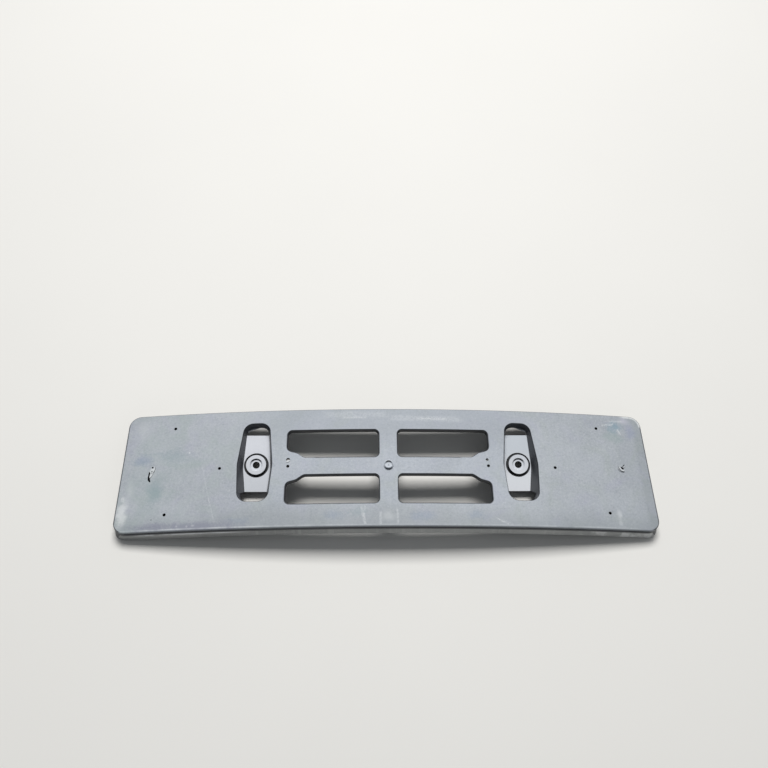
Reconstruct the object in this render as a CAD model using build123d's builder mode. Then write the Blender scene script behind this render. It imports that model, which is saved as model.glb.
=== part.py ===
from build123d import *
import math
import os

# Number plate holder: one injection-moulded plastic piece, lying on its back
# with the front face up. +X runs along its length, +Y towards its top edge and
# +Z out of its front face. It is bowed along its length like the bumper behind
# it, so it rests on the rims of its two ends. Millimetres.

os.makedirs("parts", exist_ok=True)

# ---------------------------------------------------------------- dimensions
# front panel
LENGTH = 520.0          # end to end, along X
HEIGHT = 122.6          # bottom edge to top edge, along Y
BOW_R = 1800.0          # radius of the front surface along the length
BOW_END_X = 236.0       # the last stretch at each end is straight
PANEL_T = 2.8           # wall thickness behind the front surface
CORNER_R = 11.5         # plan radius of the panel's corners
LIP_T = 3.0             # depth of the panel's edge, down to the shadow groove
LIP_ROUND = 1.2         # rounding where the front face turns into the edge

# shadow groove and flared skirt behind the panel's edge
GROOVE_IN = 1.3         # how far the groove steps in behind the lip
GROOVE_D = 4.8          # depth at which the groove ends and the skirt starts
SKIRT_D = 14.0          # depth of the skirt's rim behind the front surface
SKIRT_STEP = -0.2       # skirt against the lip's outline where it starts
FLARE_Y = 1.9           # how far outside the lip its rim is, top and bottom
FLARE_X = 1.9           # and at the two ends
SKIRT_CORNER_R = 12.5
SKIRT_T = 2.2           # wall thickness of the skirt at the rim
CAVITY_IN = 3.5         # inside of the skirt, in from the panel edge, at the top
CAVITY_CORNER_R = 9.5

# four windows round the middle cross
WIN_X0 = 9.3            # half width of the upright bar
WIN_X1 = 98.5           # outer side of the windows
WIN_Y0 = 9.1            # half width of the level bar
WIN_Y1 = 38.2           # far side of the windows
WIN_R = 4.5             # corner radius
WIN_PAD_X0 = 81.4       # start of the slope where the level bar's ends widen
WIN_PAD_BEND = (89.0, 14.4)     # where it flattens
WIN_PAD_Y = 17.0        # its end, at the windows' outer side
WIN_PAD_R = 7.0         # radius at both bends of the slope
WIN_FLANGE_T = 2.2      # stiffening wall round each window, on the back
WIN_FLANGE_D = 5.7      # its depth behind the front surface

# two barrel-shaped slots, six-sided, with a recessed fixing tab in each
SLOT_X = 129.7          # slot centre
SLOT_TOP = (12.3, 46.9)         # half width and height of the mouth's corners
SLOT_MIDDLE = (17.0, 3.0)
SLOT_BOTTOM = (14.4, -34.8)
SLOT_R = 10.5           # corner radius of the mouth
SLOT_BEND_R = 40.0      # rounding of the bend half way down each side
FOOT_TOP = (10.4, 46.0)         # the same corners at the depth of the tab
FOOT_MIDDLE = (13.4, 6.0)
FOOT_BOTTOM = (9.3, -30.0)
FOOT_R = 7.5
FOOT_SHIFT = 0.45       # the foot lies this far towards the holder's middle
SLOT_WALL = 2.2         # wall thickness beside the recess
SLOT_FLANGE_D = 8.0     # depth of the mouth's edge where there is no wall
TAB_D = 15.05           # depth of the tab's front at the boss
TAB_TILT = 10.8         # tab leans back towards its lower end, degrees
TAB_T = 2.5             # tab thickness
TAB_TOP = 38.3          # upper and lower ends of the tab, open gaps beyond
TAB_BOTTOM = -17.3
WALL_BOTTOM = -29.0     # the side walls run on to here at the front surface
BOSS_Y = 8.6            # fixing boss, square to the tab, on the slot's centre
BOSS_R = 9.8
BOSS_H = 2.5            # height above the tab
BOSS_GROOVE_R = 12.2    # moat round the foot of the boss
BOSS_GROOVE_D = 1.4
FIX_HOLE_R = 3.5        # fixing hole
FIX_SEAT_R = 5.0        # seat for the screw head, with a sloping side
FIX_SEAT_TOP_R = 6.3
FIX_SEAT_D = 1.6

# pilot holes for the plate screws, with a pad behind each
PILOT_R = 1.5
PILOTS = [(211.5, 45.1), (211.5, -45.1), (163.1, 0.0), (97.0, 0.0)]
PAD_R = 4.5
PAD_D = 6.5
SPARE = (96.2, 6.5)     # spare screw hole above the right inner pilot hole
SPARE_R = 1.4
FLAP = (-97.0, 6.7)     # on the left it is half covered by a torn flap
FLAP_HOLE_R = 2.0
FLAP_H = 0.5            # how far the flap stands up

# gate stub in the middle of the cross: a round-edged collar with a dish in it
GATE_R = 4.6
GATE_H = 2.6            # height above the front surface
GATE_ROUND = 1.2        # rounding of its upper edge
GATE_DISH_R = 3.75      # dish at its mouth
GATE_FLOOR_R = 3.45     # and at its floor
GATE_DISH_D = 2.05
GATE_PIP_R = 0.5        # pip in the middle of the dish
GATE_PIP_H = 0.5
GATE_PAD_R = 7.5        # pad behind it
GATE_PAD_D = 5.7

# torn screw holes near the two ends, one on each side, with a raised burr
TORN_H = 0.9            # how far the burrs stand up
TORN_LEFT = [           # torn slit of the left one
    (-232.3, -0.1),
    (-232.7, -4.2),
    (-232.7, -7.4),
    (-231.4, -10.3),
    (-229.9, -11.2),
    (-230.0, -8.8),
    (-231.1, -5.2),
    (-231.5, -0.7),
]
TORN_RIGHT = (231.7, 2.5)   # centre of the right one

EDGE_ROUND = 0.8        # rounding of the window and slot edges

# ------------------------------------------------------------ derived values
HALF_L = LENGTH / 2
HALF_H = HEIGHT / 2
RIM_X = HALF_L + FLARE_X
RIM_R = BOW_R - SKIRT_D
END_SIN = BOW_END_X / BOW_R
END_COS = math.sqrt(1 - END_SIN**2)
END_RUN = (RIM_X - RIM_R * END_SIN) / END_COS   # straight run out to the rim
AXIS_Z = END_RUN * END_SIN - RIM_R * END_COS    # puts the end rims at z = 0
TOP_Z = AXIS_Z + BOW_R


def front_z(x):
    """Height of the front surface at x."""
    if abs(x) <= BOW_END_X:
        return AXIS_Z + math.sqrt(BOW_R**2 - x * x)
    return AXIS_Z + BOW_R * END_COS - (abs(x) - BOW_END_X) * END_SIN / END_COS


END_Z = front_z(HALF_L)
SLOT_Z = front_z(SLOT_X)
SLOT_RISE = 3.0         # the recess is cut from this far above the surface
TAB_SIN = math.sin(math.radians(TAB_TILT))
TAB_COS = math.cos(math.radians(TAB_TILT))

bow_axis = Axis((0, 0, AXIS_Z), (0, 1, 0))
middle_plane = Plane((0, 0, TOP_Z), x_dir=(0, 1, 0), z_dir=(1, 0, 0))
end_plane = Plane(
    (BOW_END_X, 0, front_z(BOW_END_X)),
    x_dir=(0, 1, 0),
    z_dir=(END_COS, 0, -END_SIN),
)
tab_plane = Plane(
    (SLOT_X, BOSS_Y, SLOT_Z - TAB_D),
    x_dir=(1, 0, 0),
    z_dir=(0, -TAB_SIN, TAB_COS),
)


def bowed_bar(section, end_x, end_lean=0.0, corner_r=0.0):
    """Right half of a bar that follows the bow and then runs out straight.

    section is a list of (y, depth behind the front surface) points. The end is
    cut at end_x, measured at z = 0, leaning by end_lean outwards per mm down.
    """
    points = [(y, -depth) for y, depth in section]
    with BuildPart() as bar:
        with BuildSketch(middle_plane):
            with BuildLine():
                Polyline(*points, close=True)
            make_face()
        revolve(axis=bow_axis, revolution_arc=math.degrees(math.asin(END_SIN)))
        with BuildSketch(end_plane):
            with BuildLine():
                Polyline(*points, close=True)
            make_face()
        extrude(amount=60)
        with BuildSketch(Plane.XZ):
            with BuildLine():
                Polyline(
                    (-1, 60),
                    (end_x - 60 * end_lean, 60),
                    (end_x + 40 * end_lean, -40),
                    (-1, -40),
                    close=True,
                )
            make_face()
        extrude(amount=100, both=True, mode=Mode.INTERSECT)
        if corner_r:
            corners = bar.edges().filter_by(
                lambda e: e.center().X > HALF_L - 12
                and abs(e.center().Y) > HALF_H - 8
                and abs((e @ 1).Y - (e @ 0).Y) < 6
                and abs((e @ 1).X - (e @ 0).X) < 6
            )
            fillet(corners, corner_r)
    return bar.part


def on_front(edge):
    """True for an edge that lies in the front surface."""
    return all(abs((edge @ t).Z - front_z((edge @ t).X)) < 0.02 for t in (0, 0.5, 1))


def slab(half_y, depth0, depth1):
    """Section of a plain bar between two depths."""
    return [(-half_y, depth0), (half_y, depth0), (half_y, depth1), (-half_y, depth1)]


def face_plane(x, y):
    """Plane lying in the front surface at (x, y)."""
    lean = math.asin(x / BOW_R)
    return Plane(
        (x, y, front_z(x)),
        x_dir=(math.cos(lean), 0, -math.sin(lean)),
        z_dir=(math.sin(lean), 0, math.cos(lean)),
    )


flap_face = face_plane(*FLAP)
left_face = face_plane(-231.0, -2.7)
right_face = face_plane(*TORN_RIGHT)

# ---------------------------------------------------- right half, front to back
# front panel's edge
with BuildPart() as lip:
    add(bowed_bar(slab(HALF_H, 0, LIP_T), HALF_L, 0, CORNER_R))
    front_edges = lip.edges().filter_by(
        lambda e: e.center().X > 1
        and abs(e.center().Z - front_z(e.center().X)) < 0.4
        and (abs(e.center().Y) > HALF_H - 6 or e.center().X > HALF_L - 6)
    )
    fillet(front_edges, LIP_ROUND)

# shadow groove
neck = bowed_bar(
    slab(HALF_H - GROOVE_IN, 2, GROOVE_D + 1),
    HALF_L - GROOVE_IN,
    0,
    CORNER_R - GROOVE_IN,
)

# flared skirt
skirt = bowed_bar(
    [
        (-HALF_H - SKIRT_STEP, GROOVE_D),
        (HALF_H + SKIRT_STEP, GROOVE_D),
        (HALF_H + FLARE_Y, SKIRT_D),
        (-HALF_H - FLARE_Y, SKIRT_D),
    ],
    RIM_X,
    (FLARE_X - SKIRT_STEP) / (END_Z - GROOVE_D),
    SKIRT_CORNER_R,
)

# hollow back
inner_rim_y = HALF_H + FLARE_Y - SKIRT_T
inner_rim_x = RIM_X - SKIRT_T
lean_y = (inner_rim_y - HALF_H + CAVITY_IN) / (SKIRT_D - PANEL_T)
cavity = bowed_bar(
    [
        (-HALF_H + CAVITY_IN, PANEL_T),
        (HALF_H - CAVITY_IN, PANEL_T),
        (inner_rim_y + lean_y, SKIRT_D + 1),
        (-inner_rim_y - lean_y, SKIRT_D + 1),
    ],
    inner_rim_x,
    (inner_rim_x - HALF_L + CAVITY_IN) / (END_Z - PANEL_T),
    CAVITY_CORNER_R,
)

# the space behind the front surface, for trimming what stands on the back
behind_front = bowed_bar(slab(80, 1, 30), HALF_L)
behind_window = bowed_bar(slab(80, 1, WIN_FLANGE_D), HALF_L)

# window outline; the lower windows are its mirror image
with BuildSketch() as window:
    with BuildLine():
        Polyline(
            (WIN_X0, WIN_Y0),
            (WIN_PAD_X0, WIN_Y0),
            WIN_PAD_BEND,
            (WIN_X1, WIN_PAD_Y),
            (WIN_X1, WIN_Y1),
            (WIN_X0, WIN_Y1),
            close=True,
        )
    make_face()
    fillet(
        window.vertices().filter_by(
            lambda v: WIN_PAD_X0 - 1 < v.X < WIN_PAD_BEND[0] + 1
        ),
        WIN_PAD_R,
    )
    fillet(
        window.vertices().filter_by(
            lambda v: abs(v.X - WIN_X0) < 0.01 or abs(v.X - WIN_X1) < 0.01
        ),
        WIN_R,
    )
    mirror(about=Plane.XZ)

with BuildSketch() as window_outer:
    add(window.sketch)
    offset(amount=WIN_FLANGE_T)

with BuildPart() as window_flange:
    add(window_outer.sketch)
    extrude(amount=TOP_Z + 5)
    add(behind_window, mode=Mode.INTERSECT)


def six_sided(plane, top, middle, bottom, end_r):
    """Barrel outline about the slot's centre line, from (half width, y) corners."""
    with BuildSketch(plane) as outline:
        with BuildLine():
            Polyline(
                (-top[0], top[1]),
                (top[0], top[1]),
                middle,
                bottom,
                (-bottom[0], bottom[1]),
                (-middle[0], middle[1]),
                close=True,
            )
        make_face()
        bends = outline.vertices().filter_by(lambda v: abs(v.Y - middle[1]) < 0.01)
        fillet(bends, SLOT_BEND_R)
        ends = outline.vertices().filter_by(
            lambda v: abs(v.Y - top[1]) < 0.01 or abs(v.Y - bottom[1]) < 0.01
        )
        fillet(ends, end_r)
    return outline.sketch


def recess_block(rise, sink, grow):
    """Recess from rise above the front surface to sink below the tab's front."""
    mouth_plane = Plane((SLOT_X + FOOT_SHIFT * rise / TAB_D, 0, SLOT_Z + rise))
    foot_plane = Plane(
        tab_plane.offset(-sink).origin - Vector(FOOT_SHIFT, 0, 0),
        x_dir=tab_plane.x_dir,
        z_dir=tab_plane.z_dir,
    )
    mouth = []
    foot = []
    pairs = (
        (SLOT_TOP, FOOT_TOP),
        (SLOT_MIDDLE, FOOT_MIDDLE),
        (SLOT_BOTTOM, FOOT_BOTTOM),
    )
    for (hw0, y0), (hw1, y1) in pairs:
        depth = TAB_D - (y1 - BOSS_Y) * TAB_SIN / TAB_COS
        k = rise / depth
        mouth.append((hw0 + (hw0 - hw1) * k + grow, y0 + (y0 - y1) * k))
        foot.append((hw1 + grow, (y1 - BOSS_Y) / TAB_COS))
    with BuildPart() as block:
        loft(
            [
                six_sided(mouth_plane, *mouth, SLOT_R + grow).face(),
                six_sided(foot_plane, *foot, FOOT_R + grow).face(),
            ],
            ruled=True,
        )
    return block.part


# recess seen from the front: side walls lean in down to the tilted tab
recess = recess_block(SLOT_RISE, 0.0, 0.0)
# side walls and tab, trimmed to the tab's length; the walls run on at the
# lower end, slanting back from the tab to the front surface
tab_bottom_z = SLOT_Z - TAB_D + (TAB_BOTTOM - BOSS_Y) * TAB_SIN / TAB_COS
wall_slant = (WALL_BOTTOM - TAB_BOTTOM) / (SLOT_Z - tab_bottom_z)
with BuildPart() as tab:
    add(recess_block(SLOT_RISE, TAB_T, SLOT_WALL))
    with BuildSketch(Plane((SLOT_X, 0, 0), x_dir=(0, 1, 0), z_dir=(1, 0, 0))):
        with BuildLine():
            Polyline(
                (TAB_TOP, -5),
                (TAB_TOP, SLOT_Z + 5),
                (WALL_BOTTOM + 5 * wall_slant, SLOT_Z + 5),
                (TAB_BOTTOM, tab_bottom_z),
                (TAB_BOTTOM, -5),
                close=True,
            )
        make_face()
    extrude(amount=30, both=True, mode=Mode.INTERSECT)
    add(behind_front, mode=Mode.INTERSECT)

# stiffening edge round the mouth
with BuildPart() as slot_flange:
    add(
        six_sided(
            Plane((SLOT_X, 0, 0)),
            (SLOT_TOP[0] + SLOT_WALL, SLOT_TOP[1] + SLOT_WALL),
            (SLOT_MIDDLE[0] + SLOT_WALL, SLOT_MIDDLE[1]),
            (SLOT_BOTTOM[0] + SLOT_WALL, SLOT_BOTTOM[1] - SLOT_WALL),
            SLOT_R + SLOT_WALL,
        )
    )
    extrude(amount=TOP_Z + 5)
    add(bowed_bar(slab(80, 1, SLOT_FLANGE_D), HALF_L), mode=Mode.INTERSECT)

# ------------------------------------------------------------- the whole piece
with BuildPart() as number_plate_holder:
    add(lip.part)
    add(neck)
    add(skirt)
    add(cavity, mode=Mode.SUBTRACT)
    add(window_flange.part)
    add(slot_flange.part)
    add(tab.part)
    # pads behind the pilot holes
    for px, py in PILOTS:
        with BuildSketch(Plane((px, py, front_z(px) - 1.6))):
            Circle(PAD_R)
        extrude(amount=-(PAD_D - 1.6))
    # windows and slots
    with BuildSketch(Plane.XY):
        add(window.sketch)
    extrude(amount=TOP_Z + 5, mode=Mode.SUBTRACT)
    fillet(
        number_plate_holder.edges().filter_by(
            lambda e: on_front(e)
            and WIN_X0 - 1 < (e @ 0.5).X < WIN_X1 + 1
            and WIN_Y0 - 1 < abs((e @ 0.5).Y) < WIN_Y1 + 1
        ),
        EDGE_ROUND,
    )
    add(recess, mode=Mode.SUBTRACT)
    fillet(
        number_plate_holder.edges().filter_by(
            lambda e: on_front(e)
            and abs((e @ 0.5).X - SLOT_X) < SLOT_MIDDLE[0] + 2
            and SLOT_BOTTOM[1] - 2 < (e @ 0.5).Y < SLOT_TOP[1] + 2
        ),
        EDGE_ROUND,
    )
    # fixing boss on the tab
    with BuildSketch(tab_plane.offset(-BOSS_GROOVE_D)):
        Circle(BOSS_GROOVE_R)
        Circle(BOSS_R, mode=Mode.SUBTRACT)
    extrude(amount=BOSS_GROOVE_D + 1, mode=Mode.SUBTRACT)
    with BuildSketch(tab_plane.offset(-1)):
        Circle(BOSS_R)
    extrude(amount=BOSS_H + 1)
    with BuildSketch(tab_plane.offset(BOSS_H)):
        Circle(FIX_SEAT_TOP_R)
    with BuildSketch(tab_plane.offset(BOSS_H - FIX_SEAT_D)):
        Circle(FIX_SEAT_R)
    loft(mode=Mode.SUBTRACT)
    with BuildSketch(tab_plane.offset(BOSS_H + 1)):
        Circle(FIX_HOLE_R)
    extrude(amount=-(BOSS_H + TAB_T + 2), mode=Mode.SUBTRACT)
    # pilot holes
    for px, py in PILOTS:
        with BuildSketch(Plane((px, py, front_z(px) + 2))):
            Circle(PILOT_R)
        extrude(amount=-(PAD_D + 4), mode=Mode.SUBTRACT)
    mirror(about=Plane.YZ)
    # spare screw hole, and the one half covered by a torn flap
    with BuildSketch(Plane((*SPARE, front_z(SPARE[0]) + 2))):
        Circle(SPARE_R)
    extrude(amount=-(PAD_D + 4), mode=Mode.SUBTRACT)
    with BuildSketch(Plane((*FLAP, front_z(FLAP[0]) + 2))):
        Circle(FLAP_HOLE_R)
    extrude(amount=-(PAD_D + 4), mode=Mode.SUBTRACT)
    with BuildSketch(flap_face.offset(-1.6)):
        with Locations(Location((0.1, -1.5), 20)):
            Ellipse(1.9, 1.0)
    extrude(amount=1.6 + FLAP_H)
    # gate stub, with a pad behind it
    with BuildSketch(Plane((0, 0, TOP_Z - 1.6))):
        Circle(GATE_PAD_R)
    extrude(amount=-(GATE_PAD_D - 1.6))
    with BuildSketch(Plane((0, 0, TOP_Z - 1.6))):
        Circle(GATE_R)
    extrude(amount=GATE_H + 1.6)
    fillet(
        number_plate_holder.edges().filter_by(
            lambda e: (e @ 0.5).Z > TOP_Z + GATE_H - 0.01
        ),
        GATE_ROUND,
    )
    with BuildSketch(Plane((0, 0, TOP_Z + GATE_H))):
        Circle(GATE_DISH_R)
    with BuildSketch(Plane((0, 0, TOP_Z + GATE_H - GATE_DISH_D))):
        Circle(GATE_FLOOR_R)
    loft(mode=Mode.SUBTRACT)
    with BuildSketch(Plane((0, 0, TOP_Z - 1))):
        Circle(GATE_PIP_R)
    extrude(amount=GATE_H - GATE_DISH_D + GATE_PIP_H + 1)
    # torn screw holes: raised burrs first, then what is torn away
    with BuildSketch(left_face.offset(-0.6)):
        with Locations(Location((1.4, 1.6), -14)):
            Ellipse(2.0, 6.2)
    extrude(amount=TORN_H + 0.3)
    with BuildSketch(left_face.offset(-0.6)):
        with Locations(Location((2.3, 4.4), -14)):
            Ellipse(2.3, 4.0)
    extrude(amount=TORN_H + 0.6)
    with BuildSketch(left_face.offset(-4)):
        with Locations((2.2, 6.4)):
            Circle(0.95)
        with Locations((2.0, 2.2)):
            Circle(0.6)
    extrude(amount=8, mode=Mode.SUBTRACT)
    with BuildSketch(Plane((0, 0, TOP_Z - 30))):
        with BuildLine():
            Spline(*TORN_LEFT, periodic=True)
        make_face()
    extrude(amount=40, mode=Mode.SUBTRACT)
    with BuildSketch(right_face.offset(-0.6)):
        with BuildLine():
            ThreePointArc((-3.4, 0.2), (-1.7, -2.9), (1.6, -3.8))
            Line((1.6, -3.8), (2.2, -2.2))
            ThreePointArc((2.2, -2.2), (-0.6, -1.5), (-1.9, 0.9))
            Line((-1.9, 0.9), (-3.4, 0.2))
        make_face()
    extrude(amount=TORN_H + 0.6)
    with BuildSketch(right_face.offset(-0.6)):
        with Locations(Location((2.5, 1.7), -40)):
            Ellipse(0.8, 1.9)
    extrude(amount=TORN_H + 0.3)
    with BuildSketch(right_face.offset(-1.4)):
        with Locations(Location((1.5, 2.2), 47)):
            SlotOverall(4.6, 0.8)
    extrude(amount=5, mode=Mode.SUBTRACT)
    with BuildSketch(right_face.offset(-4)):
        with Locations(Location((0, 0), -38)):
            Ellipse(1.9, 1.2)
    extrude(amount=8, mode=Mode.SUBTRACT)

number_plate_holder.part.label = "number_plate_holder"
export_step(number_plate_holder.part, "parts/number_plate_holder.step")
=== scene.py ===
import math

import bpy
from mathutils import Matrix, Vector

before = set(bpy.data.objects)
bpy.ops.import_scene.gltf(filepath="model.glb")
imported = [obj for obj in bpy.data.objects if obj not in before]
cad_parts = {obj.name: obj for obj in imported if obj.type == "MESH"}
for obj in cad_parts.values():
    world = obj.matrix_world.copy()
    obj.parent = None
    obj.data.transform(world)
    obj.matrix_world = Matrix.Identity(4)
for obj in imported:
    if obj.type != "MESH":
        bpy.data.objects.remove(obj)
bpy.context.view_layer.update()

# ---------------------------------------------------------------- geometry of the holder, in metres
BOW_R = 1.8            # radius of the bowed front
FRONT_TOP = 0.0330854  # height of the front's middle above the floor
BOSS = (0.1297, 0.0086, 0.01336)   # foot of the right fixing boss, on the tab's face
TAB_TILT = math.radians(10.8)


# ---------------------------------------------------------------- node helper
class Graph:
    """A small wrapper that makes shader nodes; arguments are numbers or sockets."""

    def __init__(self, name):
        self.material = bpy.data.materials.new(name)
        self.material.use_nodes = True
        self.tree = self.material.node_tree
        self.tree.nodes.clear()
        self.out = self.tree.nodes.new("ShaderNodeOutputMaterial")

    def put(self, socket, value):
        if isinstance(value, bpy.types.NodeSocket):
            self.tree.links.new(value, socket)
        else:
            socket.default_value = value

    def node(self, kind, **settings):
        n = self.tree.nodes.new(kind)
        for k, v in settings.items():
            setattr(n, k, v)
        return n

    def math(self, op, a, b=None, c=None, clamp=False):
        n = self.node("ShaderNodeMath", operation=op, use_clamp=clamp)
        for i, v in enumerate((a, b, c)):
            if v is not None:
                self.put(n.inputs[i], v)
        return n.outputs[0]

    def add(self, a, b):
        return self.math("ADD", a, b)

    def sub(self, a, b):
        return self.math("SUBTRACT", a, b)

    def mul(self, a, *rest):
        for b in rest:
            a = self.math("MULTIPLY", a, b)
        return a

    def top(self, a, *rest):
        for b in rest:
            a = self.math("MAXIMUM", a, b)
        return a

    def step(self, value, low, high, out_low=0.0, out_high=1.0):
        """Smooth step: out_low below low, out_high above high."""
        n = self.node("ShaderNodeMapRange", interpolation_type="SMOOTHSTEP", clamp=True)
        for i, v in enumerate((value, low, high, out_low, out_high)):
            self.put(n.inputs[i], v)
        return n.outputs[0]

    def vec(self, x, y, z):
        n = self.node("ShaderNodeCombineXYZ")
        for i, v in enumerate((x, y, z)):
            self.put(n.inputs[i], v)
        return n.outputs[0]

    def noise(self, vector, scale, detail=2.0, rough=0.5, warp=0.0):
        n = self.node("ShaderNodeTexNoise", noise_dimensions="3D")
        self.put(n.inputs["Vector"], vector)
        n.inputs["Scale"].default_value = scale
        n.inputs["Detail"].default_value = detail
        n.inputs["Roughness"].default_value = rough
        n.inputs["Distortion"].default_value = warp
        return n.outputs[0]

    def mix(self, factor, a, b, kind="MIX"):
        n = self.node("ShaderNodeMix", data_type="RGBA", blend_type=kind, clamp_factor=True)
        self.put(n.inputs[0], factor)
        for i, v in ((6, a), (7, b)):
            self.put(n.inputs[i], v if isinstance(v, bpy.types.NodeSocket) else (*v, 1.0))
        return n.outputs[2]

    def blend(self, factor, a, b):
        """a where factor is 0, b where it is 1, for plain numbers."""
        n = self.node("ShaderNodeMix", data_type="FLOAT", clamp_factor=True)
        for i, v in ((0, factor), (2, a), (3, b)):
            self.put(n.inputs[i], v)
        return n.outputs[0]


def linear(r, g, b):
    """An sRGB colour, 0 to 255, as linear values."""
    return tuple((c / 255 / 12.92) if c <= 10 else ((c / 255 + 0.055) / 1.055) ** 2.4 for c in (r, g, b))


# ---------------------------------------------------------------- the holder's plastic
def holder_plastic():
    g = Graph("weathered_grey_plastic")
    coords = g.node("ShaderNodeTexCoord")
    place = coords.outputs["Object"]
    split = g.node("ShaderNodeSeparateXYZ")
    g.put(split.inputs[0], place)
    x, y, z = split.outputs
    facing = g.node("ShaderNodeSeparateXYZ")
    g.put(facing.inputs[0], coords.outputs["Normal"])
    up = facing.outputs[2]

    # depth behind the bowed front surface
    arc = g.math("SQRT", g.sub(BOW_R * BOW_R, g.mul(x, x)))
    depth = g.sub(g.add(arc, FRONT_TOP - BOW_R), z)
    ax = g.math("ABSOLUTE", x)
    ay = g.math("ABSOLUTE", y)

    # regions of the moulding
    level = g.step(up, 0.86, 0.975)
    near_front = g.step(depth, 0.0022, 0.0030, 1.0, 0.0)
    from_gate = g.math("SQRT", g.add(g.mul(x, x), g.mul(y, y)))
    gate = g.mul(g.step(from_gate, 0.0050, 0.0055, 1.0, 0.0), g.step(depth, 0.0040, 0.0046, 1.0, 0.0))
    # faces turned to -Y, used below for painted shade on the gate stub
    shade_side = g.step(facing.outputs[1], -0.85, -0.40, 1.0, 0.0)
    low_lip = g.mul(g.step(y, -0.0602, -0.0596, 1.0, 0.0), near_front)
    # the gate stub takes the front grey except on its faces turned to -Y, which take the dark bare colour as painted
    # shade
    front = g.top(g.mul(level, near_front), g.mul(low_lip, g.step(up, 0.25, 0.60)), g.mul(gate, g.sub(1.0, shade_side)))
    in_slot = g.mul(g.step(ax, 0.111, 0.113), g.step(ax, 0.147, 0.149, 1.0, 0.0), g.step(ay, 0.050, 0.052, 1.0, 0.0))
    tab = g.mul(in_slot, g.step(depth, 0.0075, 0.0085), g.step(up, 0.45, 0.6), g.step(facing.outputs[1], -0.75, -0.45))
    by, bz = g.sub(y, BOSS[1]), g.sub(z, BOSS[2])
    rise = g.sub(g.mul(bz, math.cos(TAB_TILT)), g.mul(by, math.sin(TAB_TILT)))
    bv = g.add(g.mul(by, math.cos(TAB_TILT)), g.mul(bz, math.sin(TAB_TILT)))
    bu = g.sub(ax, BOSS[0])
    from_boss = g.math("SQRT", g.add(g.mul(bu, bu), g.mul(bv, bv)))
    sunk = g.top(g.step(rise, -0.0006, -0.0002, 1.0, 0.0), g.step(up, 0.3, 0.6, 1.0, 0.0))
    # painted shade: the sunken groove round each fixing boss and the boss's side, painted near black
    moat_shade = g.mul(g.step(from_boss, 0.0092, 0.0097), g.step(from_boss, 0.0125, 0.0128, 1.0, 0.0), sunk, in_slot, g.step(depth, 0.0100, 0.0110), g.step(up, -0.40, -0.28))
    skirt = g.mul(g.step(depth, 0.0062, 0.0078), g.top(g.step(ay, 0.0602, 0.0608), g.step(ax, 0.2585, 0.2592)))

    # noises: clouds, blotches, speckle, rain runs and hair scratches
    clouds = g.noise(place, 11.0, 4.0, 0.55, 0.4)
    blotch = g.noise(place, 55.0, 5.0, 0.6, 0.6)
    speck = g.noise(place, 620.0, 3.0, 0.6)
    fine = g.noise(place, 1900.0, 2.0, 0.5)
    runs = g.noise(g.vec(g.mul(x, 210.0), g.mul(y, 9.0), 0.0), 1.0, 3.0, 0.6, 0.3)
    swirl = g.noise(g.vec(g.mul(g.add(x, g.mul(y, 0.35)), 26.0), g.mul(g.sub(y, g.mul(x, 0.35)), 900.0), 0.0), 1.0, 2.0, 0.5)
    hairs = g.mul(g.step(swirl, 0.66, 0.74), g.step(blotch, 0.45, 0.65))

    # weathered front: mid grey, bluer round the windows, paler where it has chalked
    middle = g.mul(g.step(g.add(ax, g.mul(g.sub(clouds, 0.5), 0.05)), 0.095, 0.165, 1.0, 0.0), g.step(y, -0.050, -0.030))
    low = g.mix(middle, linear(149, 155, 163), linear(152, 159, 170))
    high = g.mix(middle, linear(163, 169, 177), linear(166, 173, 184))
    grey = g.mix(g.step(clouds, 0.30, 0.70), low, high)
    tint = g.noise(g.vec(g.add(x, 3.1), y, z), 34.0, 4.0, 0.6, 0.8)
    grey = g.mix(g.mul(g.step(tint, 0.50, 0.70), 0.45), grey, linear(152, 161, 160))
    grey = g.mix(g.mul(g.step(tint, 0.30, 0.48, 1.0, 0.0), 0.40), grey, linear(160, 162, 181))
    grey = g.mix(g.mul(g.step(blotch, 0.35, 0.75), 0.35), grey, linear(176, 182, 187))
    grey = g.mix(g.mul(g.step(runs, 0.52, 0.78), 0.18), grey, linear(186, 191, 196))
    grit = g.noise(g.vec(x, g.mul(y, 1.15), g.add(z, 1.7)), 430.0, 4.0, 0.7)
    grey = g.mix(g.mul(g.step(grit, 0.52, 0.72), 0.38), grey, linear(192, 196, 200))
    grey = g.mix(g.mul(g.step(grit, 0.30, 0.48, 1.0, 0.0), 0.38), grey, linear(124, 131, 138))
    grey = g.mix(g.mul(g.step(speck, 0.35, 0.72), 0.22), grey, linear(196, 200, 204))
    grey = g.mix(g.mul(g.step(fine, 0.50, 0.80), 0.22), grey, linear(118, 126, 134))
    grey = g.mix(g.mul(hairs, 0.16), grey, linear(214, 217, 219))
    # darker along the lower edge and towards the right end
    loose = g.mul(g.sub(clouds, 0.5), 0.03)
    grey = g.mix(g.mul(g.step(g.add(y, loose), -0.060, -0.034, 1.0, 0.0), 0.42), grey, linear(128, 135, 140))
    grey = g.mix(g.mul(g.step(g.add(x, loose), 0.225, 0.264), 0.26), grey, linear(126, 132, 138))

    # painted shade: the middle's upper bars darker, against the lamp's highlight there
    grey = g.mix(g.mul(g.step(y, 0.012, 0.040), middle, 0.36), grey, linear(140, 147, 155))
    # darker band just inside the right end
    grey = g.mix(g.mul(g.step(g.add(x, g.mul(loose, 0.2)), 0.2480, 0.2530), g.step(blotch, 0.25, 0.65), 0.34), grey, linear(128, 137, 136))

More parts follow.
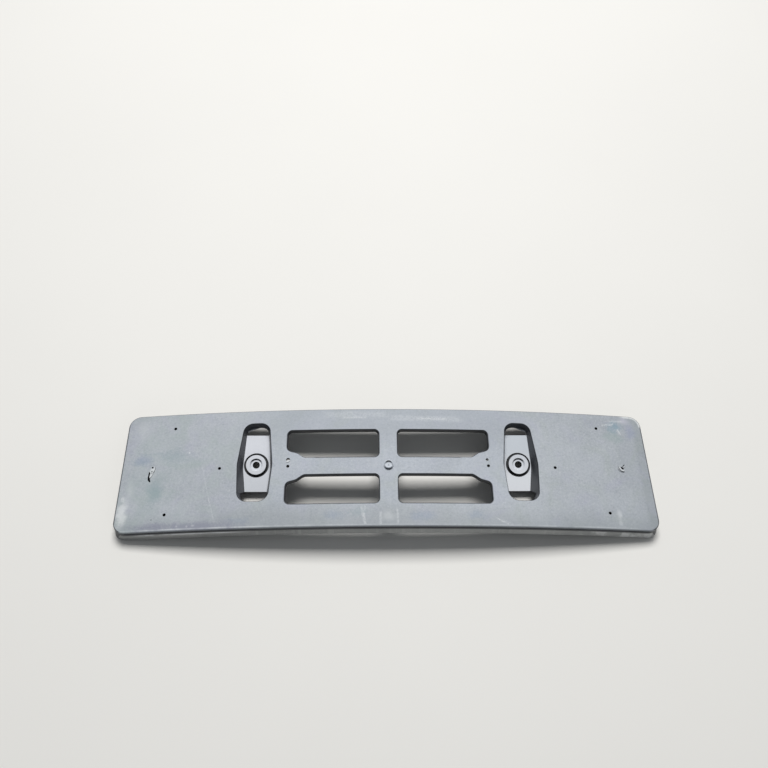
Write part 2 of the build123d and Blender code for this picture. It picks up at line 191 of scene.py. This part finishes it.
    # marks at their own places: (centre x, y, half width, half height, turn in degrees, softness)
    def blob(cx, cy, rx, ry, turn=0.0, hard=0.35, ragged=0.5):
        t = math.radians(turn)
        dx, dy = g.sub(x, cx / 1000), g.sub(y, cy / 1000)
        u = g.add(g.mul(dx, math.cos(t) * 1000 / rx), g.mul(dy, math.sin(t) * 1000 / rx))
        v = g.add(g.mul(dx, -math.sin(t) * 1000 / ry), g.mul(dy, math.cos(t) * 1000 / ry))
        r = g.math("SQRT", g.add(g.mul(u, u), g.mul(v, v)))
        r = g.add(r, g.add(g.mul(g.sub(blotch, 0.5), ragged * 2), g.mul(g.sub(speck, 0.5), ragged)))
        return g.step(r, hard, 1.0, 1.0, 0.0)

    def stroke(x0, y0, x1, y1, width, ragged=0.6):
        """A scratch or run from one point to the other, broken up by the speckle."""
        length = math.hypot(x1 - x0, y1 - y0)
        c, s = (x1 - x0) / length, (y1 - y0) / length
        dx, dy = g.sub(x, x0 / 1000), g.sub(y, y0 / 1000)
        along = g.mul(g.add(g.mul(dx, c), g.mul(dy, s)), 1000 / length)
        across = g.mul(g.add(g.mul(dx, -s), g.mul(dy, c)), 1000.0)
        across = g.math("ABSOLUTE", g.add(across, g.mul(g.sub(blotch, 0.5), ragged)))
        line = g.step(across, width * 0.15, width * 0.5, 1.0, 0.0)
        ends = g.mul(g.step(along, 0.0, 0.12), g.step(along, 0.88, 1.0, 1.0, 0.0))
        return g.mul(line, ends, g.step(speck, 0.25, 0.6))

    def paint(colour, mask, strength, shade):
        return g.mix(g.mul(mask, strength), colour, linear(*shade))

    pale, chalk = (208, 212, 215), (222, 225, 226)
    blue, teal, violet, dark = (122, 138, 162), (124, 146, 152), (124, 126, 144), (72, 76, 82)

    # rubbed band along the top edge
    grey = paint(grey, stroke(-66, 55.0, 4, 55.0, 9.0, 3.0), 0.20, pale)
    grey = paint(grey, stroke(-2, 51.4, 78, 49.8, 9.0, 3.0), 0.22, pale)
    grey = paint(grey, stroke(28, 50.7, 60, 50.0, 3.0, 1.6), 0.26, chalk)
    grey = paint(grey, stroke(-47, 51.6, -20, 51.4, 2.8, 1.6), 0.24, chalk)
    # runs below the windows, rubbed plastic between them
    grey = paint(grey, stroke(-26.2, -41.0, -22.2, -60.5, 3.6, 3.0), 0.30, chalk)
    grey = paint(grey, stroke(-22.4, -41.5, -23.4, -51.0, 2.2, 2.0), 0.30, pale)
    grey = paint(grey, stroke(-0.6, 60.4, -0.6, 52.6, 1.2, 0.5), 0.30, (112, 119, 128))
    grey = paint(grey, stroke(-8.6, -46.0, -8.2, -61.5, 3.4, 2.4), 0.38, pale)
    grey = paint(grey, blob(0.0, -52.0, 11.0, 8.0, 0, 0.0, 1.1), 0.28, pale)
    grey = paint(grey, stroke(7.5, -44.0, 8.2, -60.0, 2.6, 2.0), 0.30, pale)
    grey = paint(grey, blob(-53.0, -50.0, 15.0, 8.0, 4, 0.0, 1.0), 0.34, blue)
    grey = paint(grey, blob(29.0, -51.0, 17.0, 7.0, 0, 0.0, 1.0), 0.34, blue)
    grey = paint(grey, blob(83.0, -50.0, 13.0, 6.5, 0, 0.0, 1.0), 0.32, blue)
    grey = paint(grey, blob(-140.0, -54.0, 15.0, 6.0, 0, 0.0, 1.0), 0.26, blue)
    grey = paint(grey, blob(-28.0, -47.0, 13.0, 6.0, 0, 0.0, 1.0), 0.26, teal)
    # scratches
    grey = paint(grey, stroke(99.5, -52.8, 112.0, -59.0, 2.4, 1.0), 0.38, chalk)
    grey = paint(grey, stroke(104.0, -53.6, 117.0, -59.6, 2.2, 1.4), 0.12, chalk)
    grey = paint(grey, stroke(-181.0, 5.5, -169.8, -35.0, 1.7, 1.0), 0.16, pale)
    grey = paint(grey, stroke(-172.0, -28.0, -162.4, -56.0, 1.8, 1.0), 0.22, pale)
    # right end: chalky corner, scratches, blue stain
    grey = paint(grey, blob(232.0, 48.0, 11.0, 9.0, 10, 0.0, 0.9), 0.62, (118, 146, 162))
    grey = paint(grey, blob(226.0, 36.0, 18.0, 9.0, 0, 0.0, 0.9), 0.34, (140, 160, 156))
    grey = paint(grey, blob(247.0, 42.0, 9.0, 14.0, -10, 0.0, 0.9), 0.36, (136, 144, 172))
    grey = paint(grey, blob(242.0, 55.0, 7.5, 4.4, 0, 0.0, 1.0), 0.46, (196, 194, 208))
    grey = paint(grey, stroke(217.0, 48.6, 232.0, 51.4, 2.6, 2.2), 0.42, chalk)
    grey = paint(grey, stroke(226.0, 53.6, 241.0, 55.0, 2.8, 2.4), 0.34, chalk)
    grey = paint(grey, stroke(233.6, 46.6, 237.2, 38.6, 2.2, 1.6), 0.40, chalk)
    # the corner itself is rubbed white along its edge
    kx, ky = g.sub(x, 0.2485), g.sub(y, 0.0498)
    turn = g.math("SQRT", g.add(g.mul(kx, kx), g.mul(ky, ky)))
    corner = g.mul(g.step(kx, -0.001, 0.001), g.step(ky, -0.002, 0.001), g.step(turn, 0.0080, 0.0102))
    corner = g.top(corner, g.mul(g.step(x, 0.236, 0.244), g.step(x, 0.2480, 0.2500, 1.0, 0.0), g.step(y, 0.0580, 0.0596)))
    grey = paint(grey, g.mul(corner, g.step(blotch, 0.25, 0.55)), 0.75, chalk)
    grey = paint(grey, blob(220.8, -46.5, 3.4, 7.0, 0, 0.0, 0.8), 0.42, pale)
    grey = paint(grey, blob(220.7, -54.5, 3.2, 4.5, 0, 0.0, 1.0), 0.30, pale)
    # left end: mottled, chalky edge, blue and teal stains, darker foot
    mottle = g.mul(g.step(tint, 0.42, 0.60), g.step(x, -0.17, -0.13, 1.0, 0.0))
    grey = g.mix(g.mul(mottle, 0.26), grey, linear(156, 169, 169))
    grey = paint(grey, blob(-252.6, -41.0, 8.4, 19.0, -6, 0.0, 1.0), 0.60, chalk)
    grey = paint(grey, blob(-254.6, -27.0, 3.2, 5.0, 0, 0.0, 1.0), 0.40, chalk)
    grey = paint(grey, blob(-226.0, -18.0, 32.0, 36.0, 0, 0.0, 0.9), 0.26, (142, 158, 158))
    grey = paint(grey, blob(-248.0, -20.0, 6.0, 12.0, 8, 0.0, 1.1), 0.22, pale)
    grey = paint(grey, blob(-243.0, 46.0, 14.0, 15.0, 4, 0.0, 0.9), 0.26, pale)
    grey = paint(grey, blob(-241.0, 12.0, 16.0, 8.0, 10, 0.0, 0.7), 0.46, blue)
    grey = paint(grey, blob(-224.0, -22.0, 11.0, 15.0, 0, 0.0, 0.8), 0.44, teal)
    grey = paint(grey, blob(-206.0, 14.0, 34.0, 12.0, -8, 0.0, 0.9), 0.32, teal)
    grey = paint(grey, blob(-184.0, -57.5, 78.0, 7.5, -1, 0.1, 0.7), 0.68, violet)
    grey = paint(grey, blob(-226.0, -56.5, 16.0, 7.0, 0, 0.0, 0.8), 0.40, violet)
    grey = paint(grey, blob(-194.4, 17.9, 1.4, 1.2, 0, 0.2, 0.3), 0.55, chalk)
    grey = paint(grey, blob(-223.4, -49.5, 1.0, 0.9, 0, 0.3, 0.2), 0.75, dark)
    # painted shade of a small nick in the top edge
    grey = paint(grey, blob(-211.0, 61.2, 2.6, 0.9, 0, 0.4, 0.3), 0.80, dark)
    grey = paint(grey, blob(-198.4, -57.0, 1.9, 1.6, 0, 0.1, 0.4), 0.32, pale)
    grey = paint(grey, blob(-188.8, -57.4, 1.5, 1.9, 0, 0.1, 0.4), 0.32, pale)
    grey = paint(grey, blob(-183.2, -56.8, 2.6, 1.6, 0, 0.1, 0.5), 0.32, pale)
    # pale line where the lower lip starts to turn: rubbed wear and a painted highlight on the fillet
    grey = paint(grey, g.mul(g.step(y, -0.0606, -0.0602), g.step(y, -0.0594, -0.0588, 1.0, 0.0), g.step(blotch, 0.3, 0.65), g.step(x, -0.18, -0.06, 1.0, 0.5)), 0.50, pale)

    # painted shadow to the left of the right torn hole
    grey = paint(grey, blob(228.4, 3.2, 1.5, 2.2, 10, 0.1, 0.5), 0.42, dark)
    # whitened plastic round the two torn holes and on the torn flap
    torn = g.top(blob(-228.6, -2.5, 4.2, 8.6, -14, 0.55, 0.35), blob(230.6, 2.2, 4.6, 4.4, 0, 0.55, 0.35), blob(-96.9, 5.2, 2.8, 2.0, 20, 0.6, 0.2))
    raised = g.step(depth, -0.0006, -0.00005, 1.0, 0.0)
    # painted shadow: a dark arc below the burr of the right one
    tx, ty = g.sub(x, 0.2317), g.sub(y, 0.0025)
    away = g.math("SQRT", g.add(g.mul(tx, tx), g.mul(ty, ty)))
    below = g.math("DIVIDE", g.add(g.mul(tx, -0.5), g.mul(ty, -0.866)), g.top(away, 0.0001))
    burr_shadow = g.mul(g.step(away, 0.0036, 0.0040), g.step(away, 0.0046, 0.0053, 1.0, 0.0), g.step(below, 0.45, 0.80))
    grey = paint(grey, burr_shadow, 0.75, (78, 83, 90))
    patchy = g.step(speck, 0.35, 0.65, 0.55, 1.0)
    grey = g.mix(g.mul(torn, g.add(g.mul(raised, 0.50), 0.12), patchy), grey, linear(226, 229, 231))

    # bare plastic: darker, cleaner; the tabs are smooth and pale
    wall = g.mix(g.step(blotch, 0.3, 0.7), linear(54, 57, 62), linear(66, 69, 75))
    wall = g.mix(g.mul(g.step(speck, 0.45, 0.75), 0.12), wall, linear(110, 114, 118))
    # painted shade: the walls inside the windows painted near black
    window_wall_shade = g.mul(g.step(ax, 0.1012, 0.1020, 1.0, 0.0), g.step(ay, 0.0402, 0.0410, 1.0, 0.0), g.step(from_gate, 0.0075, 0.0085), g.step(depth, 0.0062, 0.0070, 1.0, 0.0), g.step(up, -0.6, -0.4))
    wall = g.mix(g.mul(window_wall_shade, 0.75), wall, linear(26, 29, 34))
    # painted shade: the screw holes are painted near black inside
    holes = 0.0
    for hx, hy, hr in ((211.5, 45.1, 1.5), (163.1, 0.0, 1.5), (97.0, 0.0, 1.5), (96.2, 6.5, 1.4), (97.0, 6.7, 2.0)):
        dx, dy = g.sub(ax, hx / 1000), g.sub(ay, hy / 1000)
        holes = g.top(holes, g.step(g.math("SQRT", g.add(g.mul(dx, dx), g.mul(dy, dy))), (hr + 0.1) / 1000, (hr + 0.3) / 1000, 1.0, 0.0))
    wall = g.mix(g.mul(holes, 0.9), wall, linear(14, 15, 17))
    # skirt: paler than the bare walls, with pale runs, pale streaks at the left end and pale spots at the right end,
    # all painted reflection of the floor; darker near its back edge at the left end
    skirt_tone_reflection = g.mix(g.step(clouds, 0.3, 0.7), linear(128, 130, 130), linear(156, 158, 157))
    skirt_tone_reflection = g.mix(g.mul(g.step(runs, 0.5, 0.75), 0.35), skirt_tone_reflection, linear(186, 188, 186))
    skirt_tone_reflection = g.mix(g.mul(g.step(speck, 0.4, 0.75), 0.15), skirt_tone_reflection, linear(188, 190, 190))
    left_end = g.step(x, -0.16, -0.12, 1.0, 0.0)
    skirt_streak_reflection = g.mul(left_end, g.step(x, -0.244, -0.228), g.step(depth, 0.0060, 0.0068), g.step(depth, 0.0080, 0.0092, 1.0, 0.0), g.step(blotch, 0.30, 0.55))
    skirt_tone_reflection = g.mix(g.mul(left_end, g.step(depth, 0.0100, 0.0116), 0.45), skirt_tone_reflection, linear(92, 95, 98))
    skirt_tone_reflection = g.mix(g.mul(skirt_streak_reflection, 0.85), skirt_tone_reflection, linear(226, 229, 232))
    skirt_spot_reflection = g.mul(g.step(x, 0.15, 0.21), g.step(g.noise(g.vec(g.mul(x, 70.0), g.mul(y, 40.0), g.mul(z, 40.0)), 1.0, 3.0, 0.6), 0.45, 0.62))
    skirt_tone_reflection = g.mix(g.mul(skirt_spot_reflection, 0.7), skirt_tone_reflection, linear(214, 216, 216))
    paler = g.step(g.mul(x, y), -0.004, 0.004, 1.0, 0.0)
    smooth = g.mix(paler, linear(205, 210, 217), linear(219, 222, 230))
    smooth = g.mix(g.mul(g.step(blotch, 0.25, 0.75), 0.3), smooth, linear(196, 200, 207))
    smooth = g.mix(g.mul(g.step(speck, 0.45, 0.75), 0.12), smooth, linear(170, 175, 182))
    on_right = g.step(x, 0.0, 0.01)
    smooth = g.mix(g.mul(on_right, g.step(y, 0.012, 0.024), 0.45), smooth, linear(188, 197, 206))
    smooth = g.mix(g.mul(on_right, g.step(y, -0.004, 0.004, 1.0, 0.0), 0.40), smooth, linear(232, 236, 240))

    # painted shade along the rounded mouths of the openings
    mouth_shade = g.mul(g.step(up, 0.05, 0.3), g.step(up, 0.93, 0.985, 1.0, 0.0), g.step(depth, 0.0016, 0.0022, 1.0, 0.0), g.step(depth, -0.0002, 0.00002), g.step(ay, 0.0500, 0.0520, 1.0, 0.0), g.step(ax, 0.150, 0.152, 1.0, 0.0))
    mouth_shade = g.mul(mouth_shade, g.step(from_gate, 0.0060, 0.0075))

    # painted shade: dark line round each window, from the distance outwards from the window's edge
    r = 0.0045
    qx = g.sub(g.math("ABSOLUTE", g.sub(ax, 0.0539)), 0.0446 - r)
    qy = g.sub(g.math("ABSOLUTE", g.sub(ay, 0.02365)), 0.01455 - r)
    ox, oy = g.top(qx, 0.0), g.top(qy, 0.0)
    box = g.sub(g.add(g.math("SQRT", g.add(g.mul(ox, ox), g.mul(oy, oy))), g.math("MINIMUM", g.top(qx, qy), 0.0)), r)
    slope = g.sub(g.mul(g.sub(ax, 0.0814), 0.572), g.mul(g.sub(ay, 0.0091), 0.820))
    shelf = g.sub(g.mul(g.sub(ax, 0.0890), 0.264), g.mul(g.sub(ay, 0.0144), 0.9645))
    ex, ey = g.top(g.add(g.sub(ax, 0.0985), r), 0.0), g.top(g.add(shelf, r), 0.0)
    turned = g.sub(g.math("SQRT", g.add(g.mul(ex, ex), g.mul(ey, ey))), r)
    edge = g.top(box, g.math("MINIMUM", slope, shelf), turned)
    window_edge_shade = g.mul(g.step(edge, -0.0004, -0.0001), g.step(edge, 0.0007, 0.0013, 1.0, 0.0), near_front)
    lower_sides = g.blend(g.step(y, -0.001, 0.001), g.step(ay, 0.012, 0.018), g.step(ay, 0.033, 0.037, 1.0, 0.0))
    window_edge_shade = g.mul(window_edge_shade, lower_sides)

    colour = g.mix(skirt, wall, skirt_tone_reflection)
    colour = g.mix(front, colour, grey)
    # the lower lip's own face, half way to the bare plastic
    lip_face = g.mul(low_lip, g.step(up, 0.20, 0.45, 1.0, 0.0), g.step(depth, 0.0020, 0.0028, 1.0, 0.0))
    colour = g.mix(g.mul(lip_face, 0.8), colour, linear(118, 124, 131))
    # gate stub: painted highlight on its sides and on its faces turned to +Y, painted shade on its faces turned to -Y
    # near the foot
    sideways = g.step(g.math("ABSOLUTE", facing.outputs[0]), 0.50, 0.80)
    colour = g.mix(g.mul(gate, g.top(sideways, g.step(facing.outputs[1], 0.10, 0.45)), 0.75), colour, linear(226, 230, 236))
    colour = g.mix(g.mul(gate, shade_side, g.step(from_gate, 0.0038, 0.0042), 0.45), colour, linear(120, 125, 133))
    # painted highlight: paler upward floor inside the stub's hollow top
    dish_highlight = g.mul(gate, g.step(from_gate, 0.0006, 0.0009), g.step(from_gate, 0.0034, 0.0037, 1.0, 0.0), g.step(up, 0.80, 0.95))
    colour = g.mix(g.mul(dish_highlight, 0.35), colour, linear(218, 223, 230))
    colour = g.mix(tab, colour, smooth)
    # painted shade in the groove round each boss
    colour = g.mix(moat_shade, colour, linear(34, 36, 40))
    # painted shade: a dark line along the top edge and the two ends, except at the rubbed corner
    rim_shade_line = g.mul(g.top(g.step(y, 0.0604, 0.0609), g.step(ax, 0.2584, 0.2590)), g.sub(1.0, corner), g.step(depth, 0.0030, 0.0034, 1.0, 0.0), g.step(blotch, 0.15, 0.5, 0.55, 1.0))
    colour = g.mix(g.mul(rim_shade_line, 0.8), colour, linear(70, 74, 80))
    # painted shade along the mouths of the openings
    colour = g.mix(g.mul(mouth_shade, g.step(blotch, 0.2, 0.6, 0.65, 0.95)), colour, linear(44, 47, 53))
    # painted shade: dark line round each window
    colour = g.mix(g.mul(window_edge_shade, g.step(blotch, 0.2, 0.6, 0.60, 0.95)), colour, linear(48, 52, 58))

    rough = g.blend(front, 0.42, g.add(0.56, g.mul(g.sub(blotch, 0.5), 0.25)))
    rough = g.blend(skirt, rough, 0.30)
    rough = g.blend(tab, rough, 0.31)

    # moulded grain, stronger on the front than on the smooth tabs
    grain = g.add(g.mul(fine, 0.5), g.mul(speck, 0.8))
    grain = g.sub(grain, g.mul(hairs, 0.4))
    bump = g.node("ShaderNodeBump")
    g.put(bump.inputs["Strength"], g.blend(tab, 0.30, 0.10))
    bump.inputs["Distance"].default_value = 0.00025
    g.put(bump.inputs["Height"], grain)

    shader = g.node("ShaderNodeBsdfPrincipled")
    g.put(shader.inputs["Base Color"], colour)
    g.put(shader.inputs["Roughness"], rough)
    g.put(shader.inputs["Normal"], bump.outputs[0])
    shader.inputs["Specular IOR Level"].default_value = 0.45
    g.tree.links.new(shader.outputs[0], g.out.inputs["Surface"])
    return g.material


plastic = holder_plastic()
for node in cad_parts.values():
    if not node.material_slots:
        node.data.materials.append(plastic)
    for slot in node.material_slots:
        slot.material = plastic


# ---------------------------------------------------------------- floor
def floor_material():
    g = Graph("pale_floor")
    coords = g.node("ShaderNodeTexCoord")
    tone = g.noise(coords.outputs["Object"], 3.0, 4.0, 0.5)
    shader = g.node("ShaderNodeBsdfPrincipled")
    g.put(shader.inputs["Base Color"], g.mix(tone, linear(224, 223, 220), linear(229, 228, 225)))
    shader.inputs["Roughness"].default_value = 0.6
    shader.inputs["Specular IOR Level"].default_value = 0.3
    g.tree.links.new(shader.outputs[0], g.out.inputs["Surface"])
    return g.material


mesh = bpy.data.meshes.new("floor")
mesh.from_pydata([(-6, -6, 0), (6, -6, 0), (6, 6, 0), (-6, 6, 0)], [], [(0, 1, 2, 3)])
floor = bpy.data.objects.new("floor", mesh)
floor.location.z = -0.0001
mesh.materials.append(floor_material())
bpy.context.scene.collection.objects.link(floor)


# ---------------------------------------------------------------- light
def lamp(name, place, target, size_x, size_y, watts, colour):
    data = bpy.data.lights.new(name, "AREA")
    data.shape = "RECTANGLE"
    data.size, data.size_y = size_x, size_y
    data.energy = watts
    data.color = colour
    ob = bpy.data.objects.new(name, data)
    ob.location = place
    ob.rotation_euler = (Vector(target) - Vector(place)).to_track_quat("-Z", "Y").to_euler()
    bpy.context.scene.collection.objects.link(ob)


lamp("key", (0.02, 1.41, 2.65), (0, 0, 0), 1.5, 1.15, 90.0, (1.0, 0.99, 0.97))
lamp("fill", (0.5, -1.7, 0.9), (0, 0, 0), 1.6, 1.0, 2.0, (0.95, 0.98, 1.0))

world = bpy.data.worlds.new("studio")
world.use_nodes = True
world.node_tree.nodes["Background"].inputs[0].default_value = (0.92, 0.96, 1.0, 1.0)
world.node_tree.nodes["Background"].inputs[1].default_value = 0.20
bpy.context.scene.world = world
bpy.context.scene.view_settings.view_transform = "Standard"

# ---------------------------------------------------------------- camera, at the photograph's viewing angle
right = Vector((0.999596, -0.013648, 0.024926)).normalized()
forward = Vector((0.028411, 0.499217, -0.866011)).normalized()
above = right.cross(forward).normalized()
right = forward.cross(above).normalized()
camera_data = bpy.data.cameras.new("camera")
camera_data.sensor_width = 36.0
camera_data.lens = 36.0
camera_data.clip_start = 0.01
camera = bpy.data.objects.new("camera", camera_data)
camera.matrix_world = Matrix.Translation((-0.02548, -0.30162, 0.71228)) @ Matrix((right, above, -forward)).transposed().to_4x4()
bpy.context.scene.collection.objects.link(camera)
bpy.context.scene.camera = camera
